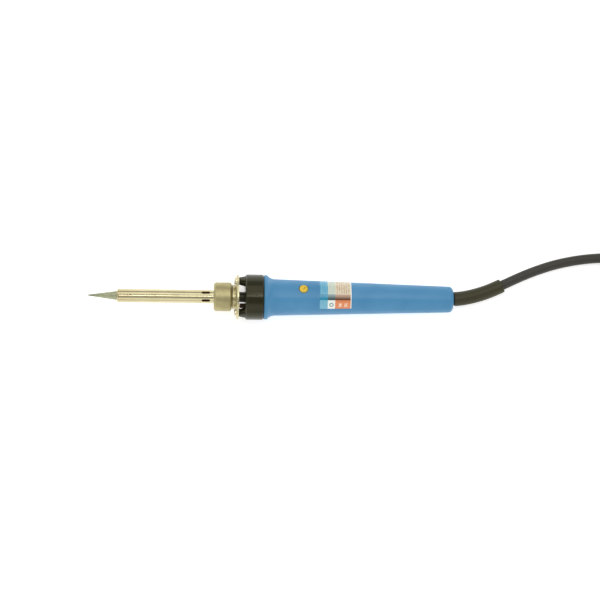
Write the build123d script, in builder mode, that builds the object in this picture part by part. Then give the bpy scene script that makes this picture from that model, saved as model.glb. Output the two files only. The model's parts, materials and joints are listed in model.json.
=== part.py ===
from build123d import *
from math import atan, cos, degrees, radians, sin, sqrt, tan
import os

# A soldering iron with its temperature set in the handle, lying on a table.
# Millimetres.  +X runs from the tip to the cord and +Z is up; the table is z = 0.
# A station is a distance along the tool axis, counted from the point of the tip.
# An angle round the tool axis is 0 on top and grows towards +Y.

# ---- driving dimensions: the hot end -----------------------------------------------------
CONE_LENGTH = 17.7
POINT_R = 0.4
TIP_R = 2.8
TIP_SHOULDER_R, TIP_SHOULDER = 3.5, (18.5, 20.2)
TIP_BODY_R, TIP_REAR = 3.25, 46.0
TIP_BORE_R, TIP_BORE_FRONT = 2.08, 22.0

BARREL_FRONT, BARREL_REAR = 17.7, 80.5
BARREL_R, BARREL_WALL = 4.2, 0.45
BARREL_NECK_FRONT, BARREL_NECK_R = 76.7, 4.0
BARREL_LIP_R, BARREL_LIP = 2.95, 0.6
BARREL_NOSE_ROUND = 1.2
BARREL_FLANGE_R, BARREL_FLANGE = 5.6, 0.8
VENT_STATION, VENT_LENGTH, VENT_WIDTH, VENT_COUNT = 72.7, 5.2, 1.9, 5

NUT_FRONT, NUT_REAR, NUT_R = 77.7, 88.6, 8.9
NUT_HOLE_R, NUT_FRONT_WALL = 4.35, 1.85
THREAD_PITCH, THREAD_DEPTH = 1.0, 0.45
THREAD_R, NUT_THREAD_R = 6.0, 6.08

NIPPLE_FRONT, NECK_FRONT = 80.65, 88.9
NECK_R, NECK_FLARE, NECK_CORNER = 7.5, 0.5, 0.3
PLATE_FRONT, PLATE_REAR, PLATE_R = 91.6, 93.0, 13.7
NIPPLE_TAIL_R, NIPPLE_BORE_R, NIPPLE_MOUTH_R = 5.0, 4.3, 2.6

HEATER_R, HEATER_FRONT = 2.0, 23.2
HEATER_BASE_R, HEATER_BASE = 4.25, (84.0, 92.8)

# ---- driving dimensions: collar, screws and earth ----------------------------------------
COLLAR_FRONT, COLLAR_REAR, COLLAR_R, COLLAR_EDGE = 97.0, 108.5, 14.05, 0.8
COLLAR_WALL_REAR, COLLAR_RECESS_R = 100.2, 8.3
HUB_R, HUB_BORE_R = 3.2, 2.1
SPIGOT_R, SPIGOT_BORE_R, SPIGOT_REAR, SPIGOT_EASE = 9.3, 7.9, 114.0, 0.05
SCREW_CIRCLE_R, SCREW_ANGLES = 11.3, (-60.0, 60.0, 180.0)
POST_FRONT_R, POST_REAR_R, POST_LIMIT_R = 2.2, 3.4, 13.5
SCREW_R, SCREW_HOLE_R, SCREW_REAR = 1.25, 1.4, 105.5
SCREW_HEAD_R, SCREW_HEAD, SCREW_CROWN = 2.15, 1.5, 0.7
CROSS_LENGTH, CROSS_WIDTH, CROSS_DEPTH = 2.4, 0.55, 0.8
INSERT_R, INSERT_FRONT, INSERT_REAR = 1.9, 100.5, 106.5
EARTH_ANGLE, EARTH_CIRCLE_R, EARTH_LEAD_R = -92.0, 5.4, 0.8
EARTH_SLEEVE_R, EARTH_SLEEVE_EASE, EARTH_SLEEVE_REAR = 1.5, 0.1, 101.0

# ---- driving dimensions: handle, dial and board ------------------------------------------
HANDLE_FRONT, HANDLE_REAR = 108.5, 226.3
HANDLE_RIM_R, HANDLE_RIM_REAR, HANDLE_RIM_CORNER = 13.75, 110.5, 0.4
GRIP_FRONT, GRIP_FRONT_R, GRIP_TAPER = 115.3, 11.3, 0.0299
HANDLE_WALL, HANDLE_END_WALL = 2.4, 4.3
END_ROUND_LENGTH, END_FACE_R = 2.8, 4.4
CORD_HOLE_R = 3.9
DIAL_STATION, DIAL_ANGLE = 132.8, 31.6
DIAL_R, DIAL_HOLE_R, DIAL_LOW, DIAL_TOP, DIAL_EDGE = 2.6, 2.95, 7.9, 10.95, 0.4
DIAL_SLOT_LENGTH, DIAL_SLOT_WIDTH, DIAL_SLOT_DEPTH, DIAL_SLOT_TURN = 3.6, 0.75, 0.8, 35.0
SHAFT_R, SHAFT_LENGTH, STEM_R, STEM_LOW, STEM_TOP = 1.9, 5.2, 1.5, 5.6, 9.2
LABEL_FRONT, LABEL_REAR, LABEL_ANGLES, LABEL_THICK = 142.85, 162.4, (-39.0, 110.0), 0.12
BOARD_FRONT, BOARD_REAR, BOARD_WIDTH = 117.0, 177.0, 12.0
BOARD_LOW, BOARD_TOP = -2.2, -1.0
RAIL_REACH, RAIL_HEIGHT = 5.2, 1.0

# ---- driving dimensions: cord ------------------------------------------------------------
CORD_R = 3.0
BOOT_R, BOOT_END_R = 4.45, 4.35
HANK_CENTRE = (272.5, 3.0)
HANK_REACH, HANK_FOLD_R, HANK_WAIST = 36.0, 18.3, 5.0
STRAND_GAP, HANK_LAYERS = 6.1, 3
TIE_THICK, TIE_WIDTH, TIE_EASE = 0.8, 9.0, 1.2
PLUG_HEADING = -14.0

# ---- how the iron lies: on the collar's rear edge and on the round at the handle's end ----
# The table's line touches the collar's corner and the quarter ellipse that ends the handle.
ROUND_FRONT = HANDLE_REAR - END_ROUND_LENGTH
END_R = GRIP_FRONT_R - GRIP_TAPER * (ROUND_FRONT - GRIP_FRONT)
rest_arm = ROUND_FRONT - (COLLAR_REAR - COLLAR_EDGE)
rest_drop = COLLAR_R - END_FACE_R
round_height = END_R - END_FACE_R
arm_term = rest_arm**2 - END_ROUND_LENGTH**2
rest_root = sqrt((rest_drop * rest_arm) ** 2 - arm_term * (rest_drop**2 - round_height**2))
LEAN = degrees(atan((rest_drop * rest_arm - rest_root) / arm_term))
ALONG = Vector(cos(radians(LEAN)), 0, -sin(radians(LEAN)))
UP = Vector(sin(radians(LEAN)), 0, cos(radians(LEAN)))
SIDE = Vector(0, 1, 0)
TIP_HEIGHT = (COLLAR_REAR - COLLAR_EDGE) * sin(radians(LEAN)) + COLLAR_R * cos(radians(LEAN))
TIP_POINT = Vector(-HANDLE_REAR * cos(radians(LEAN)) / 2, 0, TIP_HEIGHT)
TOOL_AXIS = Axis(TIP_POINT, ALONG)
PROFILE = Plane(origin=TIP_POINT, x_dir=ALONG, z_dir=-SIDE)


def radial(angle):
    """Unit direction square to the tool axis at an angle round it."""
    return UP * cos(radians(angle)) + SIDE * sin(radians(angle))


def on_axis(station):
    """Point of the tool axis at a station."""
    return TIP_POINT + ALONG * station


def around(station, radius, angle):
    """Point at a station, a radius and an angle round the tool axis."""
    return on_axis(station) + radial(angle) * radius


def board_point(station, across, height):
    """Point in the circuit board's directions: height runs towards the dial."""
    return on_axis(station) + radial(DIAL_ANGLE + 90) * across + radial(DIAL_ANGLE) * height


def cross_plane(station, radius=0.0, angle=0.0):
    """Plane square to the tool axis, facing the cord."""
    return Plane(origin=around(station, radius, angle), x_dir=SIDE, z_dir=ALONG)


def board_plane(station, across, height):
    """Plane parallel to the circuit board, facing the dial."""
    return Plane(origin=board_point(station, across, height), x_dir=ALONG, z_dir=radial(DIAL_ANGLE))


def outline(*points):
    """Closed outline of stations and radii, ready to revolve about the tool axis."""
    with BuildSketch(PROFILE) as sketch:
        with BuildLine():
            Polyline(*points, close=True)
        make_face()
    return sketch.sketch


def cylinder_outline(front, rear, radius, bore=0.0):
    """Outline of a plain disc, rod or tube between two stations."""
    return outline((front, bore), (rear, bore), (rear, radius), (front, radius))


def thread_outline(front, rear, crest, root, inner):
    """Outline of a threaded stretch: V grooves at the thread's pitch."""
    points = [(front, inner), (front, root)]
    for turn in range(int((rear - front) / THREAD_PITCH)):
        start = front + turn * THREAD_PITCH
        points += [(start + 0.4 * THREAD_PITCH, crest), (start + 0.6 * THREAD_PITCH, crest)]
        points.append((start + THREAD_PITCH, root))
    points += [(rear, root), (rear, inner)]
    return outline(*points)


def grip_radius(station):
    """Outer radius of the tapered grip."""
    return GRIP_FRONT_R - GRIP_TAPER * (station - GRIP_FRONT)


def bend_radii(route):
    """Radius of the arc at each inner point of a route."""
    radii = []
    for before, here, after in zip(route, route[1:], route[2:]):
        arriving, leaving = Vector(here) - Vector(before), Vector(after) - Vector(here)
        half_turn = radians(arriving.get_angle(leaving)) / 2
        radii.append(0.45 * min(arriving.length, leaving.length) / tan(half_turn))
    return radii


def wire_along(route, radius):
    """Round wire or cord of straight runs and tangent arcs."""
    with BuildPart() as wire:
        with BuildLine() as path:
            FilletPolyline(*route, radius=bend_radii(route))
        start = path.line @ 0
        with BuildSketch(Plane(origin=start, z_dir=path.line % 0)):
            Circle(radius)
        sweep()
    return wire.part


def save(part, name):
    """Write one piece under its own name."""
    part.label = name
    export_step(part, "parts/" + name + ".step")


os.makedirs("parts", exist_ok=True)

# ---- the tip: a cone on a shouldered, bored shank ----------------------------------------
with BuildPart() as soldering_tip:
    with BuildSketch(PROFILE):
        with BuildLine():
            nose = RadiusArc((0, 0), (POINT_R, POINT_R), POINT_R)
            Polyline(
                nose @ 1,
                (CONE_LENGTH - 0.6, TIP_R - 0.05),
                (CONE_LENGTH, TIP_R),
                (TIP_SHOULDER[0], TIP_R),
                (TIP_SHOULDER[0], TIP_SHOULDER_R),
                (TIP_SHOULDER[1], TIP_SHOULDER_R),
                (TIP_SHOULDER[1], TIP_BODY_R),
                (TIP_REAR - 0.4, TIP_BODY_R),
                (TIP_REAR, TIP_BODY_R - 0.4),
                (TIP_REAR, TIP_BORE_R),
                (TIP_BORE_FRONT, TIP_BORE_R),
                (TIP_BORE_FRONT - 0.8, 0),
                (0, 0),
            )
        make_face()
    revolve(axis=TOOL_AXIS)

# ---- the barrel: a thin tube, rolled in at the nose, vented, necked and flanged at the rear ---
with BuildPart() as barrel_sleeve:
    inner_r = BARREL_R - BARREL_WALL
    with BuildSketch(PROFILE):
        with BuildLine():
            roll_end = (BARREL_FRONT + BARREL_NOSE_ROUND, BARREL_R)
            Line((BARREL_FRONT, BARREL_LIP_R), (BARREL_FRONT, BARREL_R - BARREL_NOSE_ROUND))
            RadiusArc((BARREL_FRONT, BARREL_R - BARREL_NOSE_ROUND), roll_end, BARREL_NOSE_ROUND)
            Polyline(
                roll_end,
                (BARREL_NECK_FRONT, BARREL_R),
                (BARREL_NECK_FRONT, BARREL_NECK_R),
                (BARREL_REAR - BARREL_FLANGE, BARREL_NECK_R),
                (BARREL_REAR - BARREL_FLANGE, BARREL_FLANGE_R),
                (BARREL_REAR, BARREL_FLANGE_R),
                (BARREL_REAR, inner_r),
                (BARREL_FRONT + BARREL_LIP, inner_r),
                (BARREL_FRONT + BARREL_LIP, BARREL_LIP_R),
                (BARREL_FRONT, BARREL_LIP_R),
            )
        make_face()
    revolve(axis=TOOL_AXIS)
    for vent in range(VENT_COUNT):
        facing = radial(360 / VENT_COUNT * (vent + 0.5))
        with BuildSketch(Plane(origin=on_axis(VENT_STATION), x_dir=ALONG, z_dir=facing)):
            SlotOverall(VENT_LENGTH, VENT_WIDTH)
        extrude(amount=2 * BARREL_R, mode=Mode.SUBTRACT)

# ---- the nut that holds the barrel: finely fluted outside, threaded inside ------------------
with BuildPart() as sleeve_nut:
    with BuildSketch(PROFILE):
        with BuildLine():
            Polyline(
                (NUT_FRONT, NUT_HOLE_R),
                (NUT_FRONT, NUT_R - 1.0),
                (NUT_FRONT + 1.0, NUT_R),
                (NUT_REAR - 1.4, NUT_R),
            )
            RadiusArc((NUT_REAR - 1.4, NUT_R), (NUT_REAR, NUT_R - 1.4), 1.4)
            Polyline(
                (NUT_REAR, NUT_R - 1.4),
                (NUT_REAR, NUT_THREAD_R),
                (NUT_FRONT + NUT_FRONT_WALL, NUT_THREAD_R),
                (NUT_FRONT + NUT_FRONT_WALL, NUT_HOLE_R),
                (NUT_FRONT, NUT_HOLE_R),
            )
        make_face()
    revolve(axis=TOOL_AXIS)
    groove_front = NUT_FRONT + NUT_FRONT_WALL + 0.8
    for turn in range(int((NUT_REAR - groove_front) / THREAD_PITCH)):
        root = groove_front + turn * THREAD_PITCH
        revolve(
            outline(
                (root, NUT_THREAD_R - 0.2),
                (root + 0.4 * THREAD_PITCH, NUT_THREAD_R + THREAD_DEPTH),
                (root + 0.8 * THREAD_PITCH, NUT_THREAD_R - 0.2),
            ),
            axis=TOOL_AXIS,
            mode=Mode.SUBTRACT,
        )

# ---- the nipple: a threaded spigot with a flared neck and a tail set into the plate --------
with BuildPart() as threaded_nipple:
    revolve(
        thread_outline(NIPPLE_FRONT, NECK_FRONT, THREAD_R, THREAD_R - THREAD_DEPTH, NIPPLE_MOUTH_R),
        axis=TOOL_AXIS,
    )
    with BuildSketch(PROFILE):
        with BuildLine():
            flare_front = (PLATE_FRONT - NECK_FLARE, NECK_R)
            flare_rear = (PLATE_FRONT, NECK_R + NECK_FLARE)
            Polyline(
                (NECK_FRONT, NIPPLE_MOUTH_R),
                (NECK_FRONT, NECK_R - NECK_CORNER),
                (NECK_FRONT + NECK_CORNER, NECK_R),
                flare_front,
            )
            RadiusArc(flare_front, flare_rear, -NECK_FLARE)
            Polyline(
                flare_rear,
                (PLATE_FRONT, NIPPLE_TAIL_R),
                (PLATE_REAR, NIPPLE_TAIL_R),
                (PLATE_REAR, NIPPLE_MOUTH_R),
                (NECK_FRONT, NIPPLE_MOUTH_R),
            )
        make_face()
    revolve(axis=TOOL_AXIS)
    revolve(cylinder_outline(HEATER_BASE[0], PLATE_REAR, NIPPLE_BORE_R), axis=TOOL_AXIS, mode=Mode.SUBTRACT)

# ---- the stamped plate, its screws and the inserts they go into -----------------------------
with BuildPart() as flange_plate:
    with BuildSketch(PROFILE):
        with BuildLine():
            Polyline(
                (PLATE_REAR, NIPPLE_TAIL_R),
                (PLATE_FRONT, NIPPLE_TAIL_R),
                (PLATE_FRONT, PLATE_R - 0.4),
            )
            RadiusArc((PLATE_FRONT, PLATE_R - 0.4), (PLATE_FRONT + 0.4, PLATE_R), 0.4)
            Polyline((PLATE_FRONT + 0.4, PLATE_R), (PLATE_REAR, PLATE_R), (PLATE_REAR, NIPPLE_TAIL_R))
        make_face()
    revolve(axis=TOOL_AXIS)
    for angle in SCREW_ANGLES:
        with BuildSketch(cross_plane(PLATE_FRONT, SCREW_CIRCLE_R, angle)):
            Circle(SCREW_HOLE_R)
        extrude(amount=PLATE_REAR - PLATE_FRONT, mode=Mode.SUBTRACT)

with BuildPart() as plate_screws:
    for angle in SCREW_ANGLES:
        head_face = cross_plane(PLATE_FRONT - SCREW_HEAD, SCREW_CIRCLE_R, angle)
        with BuildSketch(cross_plane(PLATE_FRONT, SCREW_CIRCLE_R, angle)):
            Circle(SCREW_HEAD_R)
        extrude(amount=-SCREW_HEAD)
        crown = edges().filter_by(GeomType.CIRCLE).group_by(SortBy.LENGTH)[-1]
        fillet([edge for edge in crown if head_face.contains(edge.center())], SCREW_CROWN)
        with BuildSketch(cross_plane(PLATE_FRONT, SCREW_CIRCLE_R, angle)):
            Circle(SCREW_R)
        extrude(amount=SCREW_REAR - PLATE_FRONT)
        with BuildSketch(head_face):
            Rectangle(CROSS_LENGTH, CROSS_WIDTH)
            Rectangle(CROSS_WIDTH, CROSS_LENGTH)
        extrude(amount=CROSS_DEPTH, mode=Mode.SUBTRACT)

with BuildPart() as threaded_inserts:
    for angle in SCREW_ANGLES:
        with BuildSketch(cross_plane(INSERT_FRONT, SCREW_CIRCLE_R, angle)):
            Circle(INSERT_R)
            Circle(SCREW_R, mode=Mode.SUBTRACT)
        extrude(amount=INSERT_REAR - INSERT_FRONT)

# ---- the heat-proof collar: posts and hub in front, spigot behind ---------------------------
with BuildPart() as insulating_collar:
    revolve(
        outline(
            (COLLAR_FRONT, 0),
            (COLLAR_FRONT, COLLAR_R - COLLAR_EDGE),
            (COLLAR_FRONT + COLLAR_EDGE, COLLAR_R),
            (COLLAR_REAR - COLLAR_EDGE, COLLAR_R),
            (COLLAR_REAR, COLLAR_R - COLLAR_EDGE),
            (COLLAR_REAR, SPIGOT_R),
            (SPIGOT_REAR, SPIGOT_R),
            (SPIGOT_REAR, 0),
        ),
        axis=TOOL_AXIS,
    )
    revolve(cylinder_outline(PLATE_REAR, COLLAR_FRONT, HUB_R), axis=TOOL_AXIS)
    for angle in SCREW_ANGLES:
        with BuildSketch(cross_plane(COLLAR_FRONT, SCREW_CIRCLE_R, angle)):
            Circle(POST_REAR_R)
        with BuildSketch(cross_plane(PLATE_REAR, SCREW_CIRCLE_R, angle)):
            Circle(POST_FRONT_R)
        loft()
    for front, rear, radius, bore in (
        (PLATE_REAR, COLLAR_FRONT, 2 * COLLAR_R, POST_LIMIT_R),
        (PLATE_REAR, COLLAR_WALL_REAR, HUB_BORE_R, 0),
        (COLLAR_WALL_REAR, COLLAR_REAR, COLLAR_RECESS_R, 0),
        (COLLAR_REAR, SPIGOT_REAR, SPIGOT_BORE_R, 0),
    ):
        revolve(cylinder_outline(front, rear, radius, bore), axis=TOOL_AXIS, mode=Mode.SUBTRACT)
    for angle in SCREW_ANGLES:
        with BuildSketch(cross_plane(PLATE_REAR, SCREW_CIRCLE_R, angle)):
            Circle(SCREW_HOLE_R)
        extrude(amount=INSERT_FRONT - PLATE_REAR, mode=Mode.SUBTRACT)
        with BuildSketch(cross_plane(INSERT_FRONT, SCREW_CIRCLE_R, angle)):
            Circle(INSERT_R)
        extrude(amount=INSERT_REAR - INSERT_FRONT, mode=Mode.SUBTRACT)
    with BuildSketch(cross_plane(COLLAR_FRONT, EARTH_CIRCLE_R, EARTH_ANGLE)):
        Circle(EARTH_SLEEVE_R + EARTH_SLEEVE_EASE)
    extrude(amount=COLLAR_WALL_REAR - COLLAR_FRONT, mode=Mode.SUBTRACT)

# ---- the heater and its leads ---------------------------------------------------------------
with BuildPart() as heater_element:
    revolve(cylinder_outline(HEATER_FRONT, HEATER_BASE[1], HEATER_R), axis=TOOL_AXIS)
    chamfer(edges().filter_by(GeomType.CIRCLE).sort_by(TOOL_AXIS)[0], 0.4)

with BuildPart() as heater_base:
    revolve(cylinder_outline(HEATER_BASE[0], HEATER_BASE[1], HEATER_BASE_R, HEATER_R), axis=TOOL_AXIS)
    chamfer(edges().filter_by(GeomType.CIRCLE).group_by(SortBy.RADIUS)[-1], 0.3)

LEAD_R, LEAD_CIRCLE_R = 0.45, 1.2
TERMINAL_R, TERMINAL_HEIGHT, TERMINAL_FRONT, TERMINAL_REAR = 0.5, 2.4, 119.5, 175.0
TERMINALS_ACROSS = (-4.2, -1.4, 1.4, 4.2)
lead_height = BOARD_TOP + TERMINAL_HEIGHT - 0.8


def hot_lead(number):
    """One of the four leads from the heater to the board's front terminals."""
    angle = DIAL_ANGLE + (-135, -45, 45, 135)[number]
    across = TERMINALS_ACROSS[number]
    route = [
        around(HEATER_BASE[1] + 0.1, LEAD_CIRCLE_R, angle),
        around(103.0, LEAD_CIRCLE_R, angle),
        board_point(110.5, 0.6 * across, lead_height + 0.3),
        board_point(TERMINAL_FRONT - TERMINAL_R - 0.05, across, lead_height),
    ]
    return wire_along(route, LEAD_R)


with BuildPart() as heater_leads:
    add([hot_lead(0), hot_lead(3)])

with BuildPart() as sensor_leads:
    add([hot_lead(1), hot_lead(2)])

# ---- the earth connection of the metal front ------------------------------------------------
TAG_THICK, TAG_WIDTH, TAG_HOLE_R = 0.5, 3.4, 0.7
RIVET_CIRCLE_R, RIVET_ANGLE = EARTH_CIRCLE_R + 2.8, EARTH_ANGLE - 6
RIVET_HEAD_R, RIVET_HEAD, RIVET_CORNER = 1.1, 0.5, 0.25
EARTH_SLEEVE_FRONT = PLATE_REAR + TAG_THICK + 0.3
with BuildPart() as earth_tag:
    with BuildSketch(cross_plane(PLATE_REAR, RIVET_CIRCLE_R, RIVET_ANGLE)):
        Circle(TAG_WIDTH / 2)
    extrude(amount=TAG_THICK)
    with BuildSketch(cross_plane(PLATE_REAR, EARTH_CIRCLE_R, EARTH_ANGLE)):
        Circle(TAG_WIDTH / 2)
    extrude(amount=TAG_THICK)
    with BuildSketch(cross_plane(PLATE_REAR, RIVET_CIRCLE_R, RIVET_ANGLE)):
        Circle(TAG_HOLE_R)
    extrude(amount=TAG_THICK, mode=Mode.SUBTRACT)

with BuildPart() as earth_rivet:
    with BuildSketch(cross_plane(PLATE_REAR, RIVET_CIRCLE_R, RIVET_ANGLE)):
        Circle(TAG_HOLE_R)
    extrude(amount=TAG_THICK)
    with BuildSketch(cross_plane(PLATE_REAR + TAG_THICK, RIVET_CIRCLE_R, RIVET_ANGLE)):
        Circle(RIVET_HEAD_R)
    extrude(amount=RIVET_HEAD)
    chamfer(edges().filter_by(GeomType.CIRCLE).sort_by(TOOL_AXIS)[-1], RIVET_CORNER)

SPLICE_FRONT, SPLICE_REAR, SPLICE_R = 186.0, 193.0, 1.5
SPLICE_ACROSS, SPLICE_HEIGHT = -2.2, -3.6
earth_route = [
    around(PLATE_REAR + TAG_THICK + 0.05, EARTH_CIRCLE_R, EARTH_ANGLE),
    around(EARTH_SLEEVE_REAR + 5.5, EARTH_CIRCLE_R, EARTH_ANGLE),
    board_point(113.0, -4.4, -4.6),
    board_point(150.0, -4.2, -4.4),
    board_point(176.0, -3.9, -4.0),
    board_point(SPLICE_FRONT, SPLICE_ACROSS, SPLICE_HEIGHT),
]
with BuildPart() as earth_lead:
    add(wire_along(earth_route, EARTH_LEAD_R))

with BuildPart() as earth_sleeve:
    with BuildSketch(cross_plane(EARTH_SLEEVE_FRONT, EARTH_CIRCLE_R, EARTH_ANGLE)):
        Circle(EARTH_SLEEVE_R)
        Circle(EARTH_LEAD_R, mode=Mode.SUBTRACT)
    extrude(amount=EARTH_SLEEVE_REAR - EARTH_SLEEVE_FRONT)

with BuildPart() as earth_splice:
    splice_start = board_point(SPLICE_FRONT, SPLICE_ACROSS, SPLICE_HEIGHT)
    with BuildSketch(Plane(origin=splice_start, x_dir=SIDE, z_dir=ALONG)):
        Circle(SPLICE_R)
    extrude(amount=SPLICE_REAR - SPLICE_FRONT)
    chamfer(edges().filter_by(GeomType.CIRCLE), 0.3)

# ---- the handle: one moulded tube with board rails inside ------------------------------------
with BuildPart() as handle_cavity:
    cavity_front = SPIGOT_REAR
    cavity_rear = HANDLE_REAR - HANDLE_END_WALL
    revolve(
        outline(
            (cavity_front, 0),
            (cavity_front, grip_radius(cavity_front + 1.6) - HANDLE_WALL),
            (cavity_rear, grip_radius(cavity_rear) - HANDLE_WALL),
            (cavity_rear, 0),
        ),
        axis=TOOL_AXIS,
    )
    rail_middle = (BOARD_FRONT + BOARD_REAR) / 2
    for side in (-1, 1):
        for low in (BOARD_LOW - RAIL_HEIGHT, BOARD_TOP):
            across = side * (RAIL_REACH + 5)
            with BuildSketch(board_plane(rail_middle, across, low)):
                Rectangle(BOARD_REAR - BOARD_FRONT, 10)
            extrude(amount=RAIL_HEIGHT, mode=Mode.SUBTRACT)

with BuildPart() as handle_shell:
    with BuildSketch(PROFILE):
        with BuildLine():
            grip_start = (GRIP_FRONT, GRIP_FRONT_R)
            round_start = (ROUND_FRONT, END_R)
            TangentArc(grip_start, (HANDLE_RIM_REAR, HANDLE_RIM_R), tangent=(-1, GRIP_TAPER))
            EllipticalCenterArc((ROUND_FRONT, END_FACE_R), END_ROUND_LENGTH, round_height, 0, arc_size=90)
            Polyline(
                (HANDLE_RIM_REAR, HANDLE_RIM_R),
                (HANDLE_FRONT + HANDLE_RIM_CORNER, HANDLE_RIM_R),
                (HANDLE_FRONT, HANDLE_RIM_R - HANDLE_RIM_CORNER),
                (HANDLE_FRONT, 0),
                (HANDLE_REAR, 0),
                (HANDLE_REAR, END_FACE_R),
            )
            Line(round_start, grip_start)
        make_face()
    revolve(axis=TOOL_AXIS)
    add(handle_cavity.part, mode=Mode.SUBTRACT)
    for front, rear, bore in (
        (HANDLE_FRONT, SPIGOT_REAR, SPIGOT_R + SPIGOT_EASE),
        (cavity_rear, HANDLE_REAR, CORD_HOLE_R),
    ):
        revolve(cylinder_outline(front, rear, bore), axis=TOOL_AXIS, mode=Mode.SUBTRACT)
    with BuildSketch(board_plane(DIAL_STATION, 0, 0)):
        Circle(DIAL_HOLE_R)
    extrude(amount=HANDLE_RIM_R, mode=Mode.SUBTRACT)

with BuildPart() as rating_label:
    label_profile = outline(
        (LABEL_FRONT, grip_radius(LABEL_FRONT)),
        (LABEL_REAR, grip_radius(LABEL_REAR)),
        (LABEL_REAR, grip_radius(LABEL_REAR) + LABEL_THICK),
        (LABEL_FRONT, grip_radius(LABEL_FRONT) + LABEL_THICK),
    )
    revolve(
        label_profile.rotate(TOOL_AXIS, -LABEL_ANGLES[1]),
        axis=TOOL_AXIS,
        revolution_arc=LABEL_ANGLES[1] - LABEL_ANGLES[0],
    )

# ---- the temperature control: board, potentiometer, dial and its shaft -----------------------
POT_SIZE, POT_HEIGHT, POT_BORE_R, POT_BORE_FLOOR = 9.6, 4.8, 1.96, 0.3
with BuildPart() as circuit_board:
    with BuildSketch(board_plane((BOARD_FRONT + BOARD_REAR) / 2, 0, BOARD_LOW)):
        Rectangle(BOARD_REAR - BOARD_FRONT - 0.2, BOARD_WIDTH)
    extrude(amount=BOARD_TOP - BOARD_LOW)

with BuildPart() as potentiometer:
    with BuildSketch(board_plane(DIAL_STATION, 0, BOARD_TOP)):
        RectangleRounded(POT_SIZE, POT_SIZE, 0.8)
    extrude(amount=POT_HEIGHT)
    with BuildSketch(board_plane(DIAL_STATION, 0, POT_BORE_FLOOR)):
        Circle(POT_BORE_R)
    extrude(amount=POT_HEIGHT, mode=Mode.SUBTRACT)

with BuildPart() as dial_shaft:
    with BuildSketch(board_plane(DIAL_STATION, 0, POT_BORE_FLOOR + 0.1)):
        Circle(SHAFT_R)
    extrude(amount=SHAFT_LENGTH)
    with BuildSketch(board_plane(DIAL_STATION, 0, STEM_LOW)):
        Circle(STEM_R)
    extrude(amount=STEM_TOP - STEM_LOW)

with BuildPart() as temperature_dial:
    with BuildSketch(board_plane(DIAL_STATION, 0, DIAL_LOW)):
        Circle(DIAL_R)
    extrude(amount=DIAL_TOP - DIAL_LOW)
    fillet(edges().sort_by(Axis(board_point(DIAL_STATION, 0, 0), radial(DIAL_ANGLE)))[-1], DIAL_EDGE)
    with BuildSketch(board_plane(DIAL_STATION, 0, DIAL_LOW)):
        Circle(STEM_R)
    extrude(amount=STEM_TOP - DIAL_LOW, mode=Mode.SUBTRACT)
    with BuildSketch(board_plane(DIAL_STATION, 0, DIAL_TOP).rotated((0, 0, DIAL_SLOT_TURN))):
        Rectangle(DIAL_SLOT_LENGTH, DIAL_SLOT_WIDTH)
    extrude(amount=-DIAL_SLOT_DEPTH, mode=Mode.SUBTRACT)

with BuildPart() as board_terminals:
    for station, places in ((TERMINAL_FRONT, TERMINALS_ACROSS), (TERMINAL_REAR, (-3.0, 3.0))):
        for across in places:
            with BuildSketch(board_plane(station, across, BOARD_TOP)):
                Circle(TERMINAL_R)
            extrude(amount=TERMINAL_HEIGHT)

CHIP_STATION, CHIP_LENGTH, CHIP_WIDTH, CHIP_HEIGHT, CHIP_CORNER = 145.2, 9.6, 6.4, 3.2, 0.4
LEG_PITCH, LEG_ACROSS, LEG_LENGTH, LEG_WIDTH, LEG_HEIGHT = 2.54, 3.45, 0.6, 0.5, 1.8
with BuildPart() as control_chip:
    with BuildSketch(board_plane(CHIP_STATION, 0, BOARD_TOP + LEG_WIDTH)):
        Rectangle(CHIP_LENGTH, CHIP_WIDTH)
    extrude(amount=CHIP_HEIGHT)
    chamfer(edges().group_by(Axis(on_axis(0), radial(DIAL_ANGLE)))[-1], CHIP_CORNER)
    for side in (-1, 1):
        for leg in range(4):
            leg_station = CHIP_STATION + LEG_PITCH * (leg - 1.5)
            with BuildSketch(board_plane(leg_station, side * LEG_ACROSS, BOARD_TOP)):
                Rectangle(LEG_LENGTH, LEG_WIDTH)
            extrude(amount=LEG_HEIGHT)

TRIAC_STATION, TRIAC_LENGTH, TRIAC_WIDTH, TRIAC_HEIGHT, TRIAC_CORNER = 157.0, 9.2, 9.8, 3.0, 0.5
TAB_STATION, TAB_LENGTH, TAB_THICK, TAB_HOLE_R, TAB_HOLE_OFFSET = 160.1, 15.4, 1.3, 1.8, 4.9
TAB_LIFT = 0.1
with BuildPart() as triac:
    with BuildSketch(board_plane(TRIAC_STATION, 0, BOARD_TOP + TAB_LIFT + TAB_THICK)):
        Rectangle(TRIAC_LENGTH, TRIAC_WIDTH)
    extrude(amount=TRIAC_HEIGHT)
    chamfer(edges().group_by(Axis(on_axis(0), radial(DIAL_ANGLE)))[-1], TRIAC_CORNER)

with BuildPart() as triac_tab:
    with BuildSketch(board_plane(TAB_STATION, 0, BOARD_TOP + TAB_LIFT)):
        Rectangle(TAB_LENGTH, TRIAC_WIDTH)
        with Locations((TAB_HOLE_OFFSET, 0)):
            Circle(TAB_HOLE_R, mode=Mode.SUBTRACT)
    extrude(amount=TAB_THICK)

FILM_STATION, FILM_ACROSS, FILM_LENGTH, FILM_WIDTH, FILM_HEIGHT, FILM_CORNER = 158.0, 0.8, 13.0, 5.8, 3.8, 0.7
CAN_STATION, CAN_R, CAN_HEIGHT, CAN_CORNER = 171.0, 2.4, 5.4, 0.4
with BuildPart() as film_capacitor:
    with BuildSketch(board_plane(FILM_STATION, FILM_ACROSS, BOARD_LOW)):
        RectangleRounded(FILM_LENGTH, FILM_WIDTH, FILM_CORNER)
    extrude(amount=-FILM_HEIGHT)

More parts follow.
